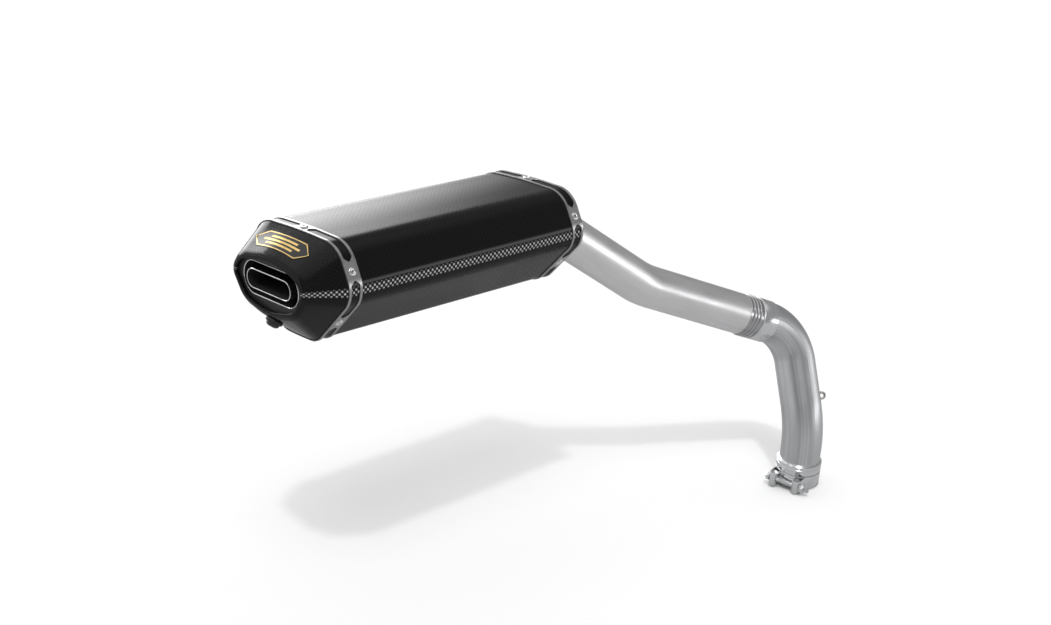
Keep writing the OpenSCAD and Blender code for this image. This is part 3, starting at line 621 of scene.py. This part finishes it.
# ---- muffler outlines ----
def whole(half):
    """The half outline and its mirror image, without the two corners on the middle again."""
    return [tuple(c) for c in half] + [(-y, z, r) for y, z, r in reversed(half[1:-1])]


BODY, LIP, NECK = whole(BODY_HALF), whole(LIP_HALF), whole(NECK_HALF)


def edge_out(outline, i):
    """The outward direction of the straight from corner i to the next."""
    a, b = np.array(outline[i][:2]), np.array(outline[(i + 1) % len(outline)][:2])
    d = (b - a) / np.linalg.norm(b - a)
    return np.array([-d[1], d[0]])


def corner_out(outline, i):
    """How corner i moves when both of its straights move out by one."""
    before, after = edge_out(outline, i - 1), edge_out(outline, i)
    return (before + after) / (1 + before @ after)


def inset(outline, depth):
    moved = [np.array(c[:2]) - depth * corner_out(outline, i) for i, c in enumerate(outline)]
    return [(p[0], p[1], max(c[2] - depth, 1)) for p, c in zip(moved, outline)]


ARC_STEPS, FLATS = 12, 4


def rounded(outline, steps=ARC_STEPS, flats=FLATS):
    """Points round an outline with rounded corners, and flats points on each straight between."""
    arcs = []
    for i, corner in enumerate(outline):
        before, after = edge_out(outline, i - 1), edge_out(outline, i)
        centre = np.array(corner[:2]) - corner[2] * corner_out(outline, i)
        swing = math.acos(min(1, before @ after))
        first = math.atan2(before[1], before[0])
        angles = [first - swing * k / steps for k in range(steps + 1)]
        arcs.append([centre + corner[2] * np.array([math.cos(a), math.sin(a)]) for a in angles])
    points = []
    for arc, following in zip(arcs, arcs[1:] + arcs[:1]):
        points += arc
        points += [arc[-1] + (following[0] - arc[-1]) * k / (flats + 1) for k in range(1, flats + 1)]
    return np.array(points)


def mixed(a, b, t, depth=0.0, flats=FLATS):
    """Points a share t of the way from one outline to another, both moved inwards by depth."""
    return rounded(inset(a, depth), flats=flats) * (1 - t) + rounded(inset(b, depth), flats=flats) * t


def at_x(x, points):
    """The outline's points in space. x runs forward from the outlet lip."""
    return [(LIP_X + x, AXIS_Y + p[0], AXIS_Z + p[1]) for p in points]


def ring(x, outline):
    return at_x(x, rounded(outline))


def cap_points(x, depth=0.0, flats=FLATS):
    return mixed(LIP, BODY, min(x / CAP_LEN, 1), depth, flats)


def corner_run(i):
    """Distance round the body to the middle of its corner i."""
    points = rounded(BODY)
    lengths = np.linalg.norm(np.roll(points, -1, 0) - points, axis=1)
    return lengths[: i * (ARC_STEPS + 1 + FLATS) + ARC_STEPS // 2].sum()


# The painted highlight on the carbon lies this far round from each side corner, on the upper side.
PAINTED_GLINT_RISE = 3.5
CARBON = carbon([corner_run(2) - PAINTED_GLINT_RISE, corner_run(6) + PAINTED_GLINT_RISE])


# ---- sleeve and caps ----
def build_sleeve():
    shape = Shape()
    inner = inset(BODY, SLEEVE_WALL)
    shape.grid([ring(x, BODY) for x in np.linspace(SLEEVE_FROM, SLEEVE_TO, 9)])
    shape.grid([ring(SLEEVE_TO, BODY), ring(SLEEVE_TO, inner),
                ring(SLEEVE_FROM, inner), ring(SLEEVE_FROM, BODY)])
    shape.piece("carbon_sleeve", "muffler", [CARBON], "carbon", ["outer_sleeve"])


def build_rear_cap():
    lip_round, inner_round, wall, skirt_wall = 4.0, 2.2, 3.0, 2.0
    lip_depth, wall_from = 5, 7
    skirt_to = CAP_LEN + BAND_W + 3
    skirt = inset(BODY, SKIRT_INSET)
    skirt_inside = inset(BODY, SKIRT_INSET + skirt_wall)
    inner_lip = []
    for degrees in range(0, 91, 15):
        a = math.radians(degrees)
        x = inner_round * (1 - math.sin(a))
        inner_lip.append(at_x(x, cap_points(x, LIP_W - inner_round * (1 - math.cos(a)))))
    outside = []
    for degrees in range(0, 90, 9):
        a = math.radians(degrees)
        x = lip_round * (1 - math.cos(a))
        outside.append(at_x(x, cap_points(x, lip_round * (1 - math.sin(a)))))
    outside += [at_x(x, cap_points(x)) for x in np.linspace(lip_round, CAP_LEN, 14)]
    shape = Shape()
    shape.grid(inner_lip + outside)
    shape.grid([
        outside[-1], ring(SLEEVE_FROM - SEAM, BODY), ring(SLEEVE_FROM - SEAM, skirt), ring(skirt_to, skirt),
        ring(skirt_to, skirt_inside), ring(CAP_LEN - 2, skirt_inside),
        at_x(wall_from, cap_points(wall_from, wall)), at_x(lip_depth, cap_points(lip_depth, LIP_W)),
        inner_lip[0],
    ])
    shape.piece("carbon_end_cap", "muffler", [CARBON], "carbon", ["rear_cap"])


def stadium(w, h, x, n=96):
    """A long slot's outline at x, as points in the order of their angle about its middle."""
    half = (w - h) / 2
    points = []
    for k in range(n):
        a = math.pi / 2 - 2 * math.pi * k / n
        c, s = math.cos(a), math.sin(a)
        if abs(s) * half < abs(c) * h / 2:
            b = half * abs(c)
            reach = b + math.sqrt(b * b - half * half + h * h / 4)
        else:
            reach = h / 2 / abs(s)
        points.append((c * reach, OUTLET_Z + s * reach))
    return at_x(x, points)


def match(x, points, inner):
    """The outline's points in the same directions as the inner points, at x."""
    points = points - [0, OUTLET_Z]
    angles = np.arctan2(points[:, 1], points[:, 0])
    radii = np.linalg.norm(points, axis=1)
    order = np.argsort(angles)
    result = []
    for p in inner:
        a = math.atan2(p[2] - AXIS_Z - OUTLET_Z, p[1] - AXIS_Y)
        r = np.interp(a, angles[order], radii[order], period=2 * math.pi)
        result.append((r * math.cos(a), OUTLET_Z + r * math.sin(a)))
    return at_x(x, result)


def build_faceplate():
    """The plate round the outlet, with a hole that the outlet tube fills."""
    front, back = 5.0, 6.2
    outer = cap_points(front, LIP_W + 0.1, 12)
    near, far = stadium(OUTLET_W, OUTLET_H, front), stadium(OUTLET_W, OUTLET_H, back)
    plate = Shape()
    plate.grid([match(front, outer, near), near, far, match(back, outer, far)], closed=True)
    plate.piece("outlet_surround", "muffler", [DARK_STEEL], "black_steel", ["outlet_faceplate"])


def slot_tube(w, h, low, high):
    """A tube with a slot's outline, bright outside and at its mouth, and painted near black behind it as
    painted shade.
    """
    rim, bright_to = 0.3, 1.4
    inner = w - 2 * OUTLET_WALL, h - 2 * OUTLET_WALL
    lip = stadium(w - 2 * rim, h - 2 * rim, low)
    shape = Shape()
    shape.grid([lip, stadium(w, h, low + rim), stadium(w, h, high)])
    shape.grid([stadium(w, h, high), stadium(*inner, high)])
    # Painted shade: the inside beyond the mouth is painted near black.
    shape.grid([stadium(*inner, high), stadium(*inner, low + bright_to)], 1)
    shape.grid([stadium(*inner, low + bright_to), stadium(*inner, low + rim),
                stadium(inner[0] + 2 * rim, inner[1] + 2 * rim, low), lip])
    return shape


def build_outlet():
    tube = slot_tube(OUTLET_W, OUTLET_H, 4.5, OUTLET_END)
    tube.piece("outlet_slot", "muffler", [BRIGHT, PAINTED_SHADE], "brushed_steel", ["outlet_tube"])


def build_insert():
    """The insert has a flange at its seat, which fills the outlet tube."""
    seat_t, gap = 2.4, 0.3
    seat_to = OUTLET_END - gap
    seat_from = seat_to - seat_t
    seat = OUTLET_W - 2 * OUTLET_WALL - 2 * gap, OUTLET_H - 2 * OUTLET_WALL - 2 * gap
    hole = INSERT_W - 1, INSERT_H - 1
    insert = slot_tube(INSERT_W, INSERT_H, 1.5, 94)
    # The seat flange is painted near black too: painted shade.
    insert.grid([stadium(*seat, seat_from), stadium(*seat, seat_to),
                 stadium(*hole, seat_to), stadium(*hole, seat_from)], 1, closed=True)
    insert.piece("noise_insert_tube", "insert", [BRIGHT, PAINTED_SHADE], "polished_steel", ["noise_insert"])


def build_front_cap():
    wall, inner_shift, neck_len = 1.5, 1, 20
    edge_x = CAP_LEN + MUFFLER_LEN
    neck_x = edge_x + neck_len
    skirt_from = FRONT_BAND_X - 1
    skirt = inset(BODY, SKIRT_INSET)
    skirt_inside = inset(BODY, SKIRT_INSET + wall)
    # Distance from the edge, and the share of the way from the body's outline to the neck's.
    taper = ((0, 0), (3, 0.16), (8, 0.52), (12, 0.72), (15, 0.85), (18, 0.95), (neck_len, 1.0))
    travel = MITRE.z

    def pipe_hole(x):
        centre = MITRE.at + travel * ((LIP_X + x - MITRE.at[0]) / travel[0])
        centre = centre[1:] - [AXIS_Y, AXIS_Z]
        points = []
        for p in rounded(NECK):
            e = (p - centre) / np.linalg.norm(p - centre)
            slant = e @ travel[1:]
            points.append(centre + e * (PIPE_R + 0.1) / math.sqrt(1 - slant * slant))
        return at_x(x, points)

    shape = Shape()
    shape.grid([ring(skirt_from, skirt), ring(SLEEVE_TO + SEAM, skirt), ring(SLEEVE_TO + SEAM, BODY)]
               + [at_x(edge_x + x, mixed(BODY, NECK, t)) for x, t in taper]
               + [pipe_hole(neck_x), pipe_hole(neck_x - wall), ring(neck_x - wall, inset(NECK, wall))]
               + [at_x(edge_x + x - inner_shift, mixed(BODY, NECK, t, wall)) for x, t in reversed(taper[:-1])]
               + [ring(skirt_from, skirt_inside)], closed=True)
    shape.piece("front_end_cap", "muffler", [UPPER_STEEL], "brushed_steel", ["front_cap"])

    centre = MITRE.step((LIP_X + neck_x - MITRE.at[0]) / travel[0])

    def tilt(angle):
        side = centre.x * math.cos(angle) + centre.y * math.sin(angle)
        return -PIPE_R * side[0] / travel[0]

    bead("front_cap_weld", "muffler", UPPER_STEEL, centre, PIPE_R + 0.4, 0.0, 1.1, 80, tilt)


# ---- bands and rivets ----
# Sections as (radius, height above the band).
RIVET_HEAD = [(4.6, -0.1), (4.6, 0.25), (4.3, 0.7), (3.7, 1.1), (3.0, 1.3), (2.3, 1.2), (1.7, 0.9),
              (1.3, 0.5)]
RIVET_HOLE = [(1.3, 0.5), (1.2, -0.9), (0.02, -0.9)]
RIVET_SHANK = [(4.6, -0.1), (2.4, -0.1), (2.4, -5), (0.02, -5)]


def band_line():
    """Evenly spaced points round the body, their outward directions and distances, and the full length."""
    count = 560
    base = rounded(BODY, 40, 30)
    steps = np.linalg.norm(np.roll(base, -1, 0) - base, axis=1)
    run = np.concatenate([[0], np.cumsum(steps)])
    loop = np.vstack([base, base[:1]])
    spots = np.linspace(0, run[-1], count + 1)[:-1]
    points = np.column_stack([np.interp(spots, run, loop[:, k]) for k in (0, 1)])
    ahead = np.roll(points, -1, 0) - np.roll(points, 1, 0)
    out = np.column_stack([-ahead[:, 1], ahead[:, 0]]) / np.linalg.norm(ahead, axis=1)[:, None]
    return points, out, spots, run[-1]


def seats():
    """Rivet seats on the body: point and outward direction."""
    upper_share, lower_share = 0.52, 0.56

    def on_edge(i, share):
        a, b = np.array(BODY[i][:2]), np.array(BODY[i + 1][:2])
        return a * (1 - share) + b * share, edge_out(BODY, i)

    middle = [(np.array([0, TOP]), np.array([0, 1])), (np.array([0, -BOTTOM]), np.array([0, -1]))]
    right = [on_edge(1, upper_share), on_edge(2, lower_share)]
    return middle + right + [(p * [-1, 1], d * [-1, 1]) for p, d in right]


def window(spots, length, points, grow):
    """Half the width of the band's window at each spot. It closes round each rivet."""
    half, taper, roundness = 5.4 + grow, 4.2, 0.75
    top_margin, margin = 8.5, 10.0
    gaps = np.full(len(spots), np.inf)
    for seat, _ in seats():
        near = spots[np.argmin(np.linalg.norm(points - seat, axis=1))]
        kept = top_margin if seat[1] > 0.9 * TOP else margin
        gap = np.abs((spots - near + length / 2) % length - length / 2) - kept + grow
        gaps = np.minimum(gaps, gap)
    return half * np.clip(gaps / taper, 0, 1) ** roundness


def strip(shape, x, low, high, grow, extra, edge):
    """The two rails of a band from low to high above the sleeve, which meet where no window is. grow
    widens the windows, extra widens the band and edge rounds it."""
    points, out, spots, length = band_line()
    inner = window(spots, length, points, grow)
    outer = np.full(len(inner), BAND_W / 2 + extra)
    inner_edge = edge * np.clip(inner / 1.5, 0, 1)
    corners = [(outer, low), (outer, high - edge), (outer - edge, high), (inner + inner_edge, high),
               (inner, high - inner_edge), (inner, low)]
    for side in (-1, 1):
        rings = []
        for offset, height in corners:
            at = points + out * np.broadcast_to(height, len(inner))[:, None]
            xs = LIP_X + x + BAND_W / 2 + side * offset
            rings.append(np.column_stack([xs, AXIS_Y + at[:, 0], AXIS_Z + at[:, 1]]))
        shape.grid(rings, closed=True)


def build_band(name, x):
    """The steel strap, and the rubber strip under it that shows past its edges."""
    lift = 0.02
    rails = Shape()
    strip(rails, x, SEAL_T, SEAL_T + BAND_T, grow=0.0, extra=0.0, edge=0.3)
    rails.piece(name + "_strap", "muffler", [BAND_STEEL], "polished_steel", [name + "_band"], sharp=30)
    seal = Shape()
    strip(seal, x, lift, SEAL_T, grow=-0.6, extra=0.8, edge=0.05)
    seal.piece(name + "_strap_seal", "muffler", [RUBBER], "rubber", [name + "_band_seal"])


def build_rivets(name, x):
    rivets = Shape()
    for seat, out in seats():
        at = (LIP_X + x + BAND_W / 2, AXIS_Y + seat[0], AXIS_Z + seat[1])
        normal = np.array([0, *out])
        foot = Place(at, X, np.cross(normal, X), normal).step(SEAL_T + BAND_T)
        # Each rivet's hole is painted near black: painted shade.
        for profile, paint in ((RIVET_HEAD, 0), (RIVET_HOLE, 1), (RIVET_SHANK, 0)):
            lathe(rivets, foot, profile, paint, 40, closed=False)
    replaced = [name + "_band_rivets"]
    rivets.piece(name + "_pop_rivets", "muffler", [BRIGHT, PAINTED_SHADE], "polished_steel", replaced)


# ---- badge ----
def cap_top(x, y):
    """Height of the cap's top above the muffler's axis."""
    points = cap_points(x)
    half = points[ARC_STEPS // 2 : ARC_STEPS + FLATS + 2]
    return np.interp(abs(y), half[:, 0], half[:, 1])


def patch(shape, edges, lift, thick, paint, n, m):
    """A plate on the cap's top between two edges, which are functions of t from 0 to 1 giving (x, y)."""
    layers = []
    for height in (lift + thick, lift):
        rows = []
        for j in range(m):
            row = []
            for i in range(n):
                a, b = (np.array(edge(i / (n - 1))) for edge in edges)
                x, y = a + (b - a) * j / (m - 1)
                row.append((LIP_X + x, AXIS_Y + y, AXIS_Z + cap_top(x, y) + height))
            rows.append(row)
        layers.append(rows)
    top, low = layers
    walls = [[top[0], low[0]], [top[-1], low[-1]]]
    walls += [[[row[k] for row in top], [row[k] for row in low]] for k in (0, -1)]
    for rows in (top, low, *walls):
        shape.grid(rows, paint, around=False)


def path(*stops):
    """A function of t that runs along the stops, with an equal share of t between each two."""
    count = len(stops) - 1

    def along(t):
        i = min(int(t * count), count - 1)
        (x, y), (to_x, to_y) = stops[i : i + 2]
        share = t * count - i
        return x + (to_x - x) * share, y + (to_y - y) * share
    return along


def build_badge():
    """A black six-sided plate with a gold line round it and three gold bars."""
    x_mid, x_half, tip, shoulder = 20.0, 10.0, 46.0, 32.0
    plate_lift, plate_t = 0.25, 0.35
    gold_lift, gold_t = 0.58, 0.08
    line_outer, line_inner = 0.94, 0.84
    bar_half, bars = 1.1, ((-4.2, 22.0), (0.0, 30.0), (4.2, 22.0))
    corners = [(x_mid - x_half, -shoulder), (x_mid - x_half, shoulder), (x_mid, tip),
               (x_mid + x_half, shoulder), (x_mid + x_half, -shoulder), (x_mid, -tip)]

    def shrunk(share):
        return [(x_mid + (x - x_mid) * share, y * (1 - (1 - share) * x_half / tip)) for x, y in corners]

    shape = Shape()
    for a, b, c, d in (corners[-1:] + corners[:3], corners[2:]):
        patch(shape, (path(a, d), path(a, b, c, d)), plate_lift, plate_t, 0, 25, 6)
    outer, inner = shrunk(line_outer), shrunk(line_inner)
    for i in range(-1, 5):
        edges = path(outer[i], outer[i + 1]), path(inner[i], inner[i + 1])
        patch(shape, edges, gold_lift, gold_t, 1, 16, 2)
    for middle, reach in bars:
        edges = (path((x_mid + middle + side, -reach), (x_mid + middle + side, reach))
                 for side in (-bar_half, bar_half))
        patch(shape, tuple(edges), gold_lift, gold_t, 1, 24, 2)
    shape.piece("cap_badge", "muffler", [LACQUER, GOLD], "badge_gold", ["badge"])


# ---- CAD nodes that are shown as they are ----
def finish_cad_nodes():
    merge, bevel_w, bevel_from = 0.01, 0.25, 40
    unbevelled = ("perforated_core", "packing_wool")
    paints = {
        "joint_seal": GRAPHITE, "spring_hook": INNER_STEEL, "clamp_band": BRIGHT, "clamp_bridge": BRIGHT,
        "clamp_trunnions": BRIGHT, "inlet_spigot": INNER_STEEL, "front_plate": INNER_STEEL,
        "perforated_core": INNER_STEEL, "packing_wool": WOOL, "baffle_plate": INNER_STEEL,
        "rear_plate": DARK_STEEL, "screw_boss": INNER_STEEL, "insert_diffuser": DARK_STEEL,
        "screw_grommet": RUBBER, "insert_screw": PLASTIC,
    }
    for name, paint in paints.items():
        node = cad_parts[name]
        node.data.materials.clear()
        node.data.materials.append(paint)
        weld = node.modifiers.new("weld", "WELD")
        weld.merge_threshold = merge * MM
        if name not in unbevelled:
            bevel = node.modifiers.new("bevel", "BEVEL")
            bevel.width = bevel_w * MM
            bevel.segments = 2
            bevel.limit_method = "ANGLE"
            bevel.angle_limit = math.radians(bevel_from)
            bevel.harden_normals = True


# ---- studio ----
CAMERA_AT = Vector((-1.6120, -1.0968, 0.9079))
CAMERA_AHEAD = Vector((0.6630, 0.6698, -0.3343))
CAMERA_RIGHT = Vector((0.7170, -0.6965, 0.0267))
CAMERA_LENS = 53.1


def build_camera():
    camera = bpy.data.objects.new("camera", bpy.data.cameras.new("camera"))
    bpy.context.scene.collection.objects.link(camera)
    camera.data.lens = CAMERA_LENS
    camera.data.sensor_width = 36
    back = -CAMERA_AHEAD.normalized()
    right = (CAMERA_RIGHT - back * CAMERA_RIGHT.dot(back)).normalized()
    up = back.cross(right)
    camera.matrix_world = Matrix.Translation(CAMERA_AT) @ Matrix((right, up, back)).transposed().to_4x4()
    bpy.context.scene.camera = camera


def build_floor():
    """A white floor, which reflections show as grey."""
    half = 40.0
    white, reflected = (0.93, 0.93, 0.93), (0.45, 0.45, 0.45)
    corners = [(-half, -half), (half, -half), (half, half), (-half, half)]
    mesh = bpy.data.meshes.new("floor")
    mesh.from_pydata([(x, y, CAD_BOX[0].z) for x, y in corners], [], [(0, 1, 2, 3)])
    paint = Paint("floor", white, 0.9, 0.0, Specular_IOR_Level=0.1)
    paint.into("Base Color", paint.tint(paint.glossy_ray(), white, reflected))
    mesh.materials.append(paint.material)
    floor = bpy.data.objects.new("floor", mesh)
    bpy.context.scene.collection.objects.link(floor)


def build_suns():
    """Two suns from behind the camera's shoulder: a small one and a wide one that softens its shadow."""
    slope = 0.64
    ahead = Vector((CAMERA_AHEAD.x, CAMERA_AHEAD.y, 0)).normalized()
    for name, energy, spread in (("key", 0.62, 3), ("fill", 0.6, 24)):
        sun = bpy.data.lights.new(name, "SUN")
        sun.energy = energy
        sun.angle = math.radians(spread)
        lamp = bpy.data.objects.new(name, sun)
        lamp.visible_glossy = name == "key"
        lamp.rotation_euler = (ahead * slope + Vector((0, 0, -1))).to_track_quat("-Z", "Y").to_euler()
        bpy.context.scene.collection.objects.link(lamp)


# Soft-edged light panels that only reflections show: brightness, then azimuth and elevation, each as
# middle, half size and fade in degrees.
PANELS = (
    (4.2, (79, 20, 15), (10, 20, 4)),
    (0.7, (0, 180, 1), (90, 18, 30)),
    (2.8, (-50, 16, 16), (-3, 8, 8)),
    (0.5, (120, 60, 20), (20, 30, 20)),
)


def build_world():
    plain_level, reflected_level = 0.81, 0.3
    world = bpy.data.worlds.new("studio")
    world.use_nodes = True
    bpy.context.scene.world = world
    sky = Nodes(world.node_tree)
    direction = sky.split(sky.coordinates("Generated"))
    azimuth = sky.math("ARCTAN2", direction["Y"], direction["X"])
    elevation = sky.math("ARCSINE", direction["Z"])

    def inside(angle, middle, half, fade):
        """1 within half of the middle, falling to 0 over fade."""
        away = sky.distance(angle, math.radians(middle))
        return sky.spread(away, 1.0, 0.0, math.radians(half), math.radians(half + fade), "SMOOTHSTEP")

    reflected = reflected_level
    for level, across, up in PANELS:
        both = sky.math("MULTIPLY", inside(azimuth, *across), inside(elevation, *up))
        reflected = sky.math("ADD", reflected, sky.math("MULTIPLY", both, level))
    background = sky.nodes["Background"].inputs
    background["Color"].default_value = (1, 1, 1, 1)
    sky.links.new(sky.mix(sky.glossy_ray(), plain_level, reflected), background["Strength"])


build_pipes()
build_slip_collar()
build_joint_ring()
build_socket()
build_bolt()
build_nut()
build_spot_welds()
build_sleeve()
build_rear_cap()
build_faceplate()
build_outlet()
build_insert()
build_front_cap()
for end, start_x in (("rear", CAP_LEN), ("front", FRONT_BAND_X)):
    build_band(end, start_x)
    build_rivets(end, start_x)
build_badge()
finish_cad_nodes()
build_camera()
build_floor()
build_suns()
build_world()
bpy.context.scene.view_settings.view_transform = "Standard"
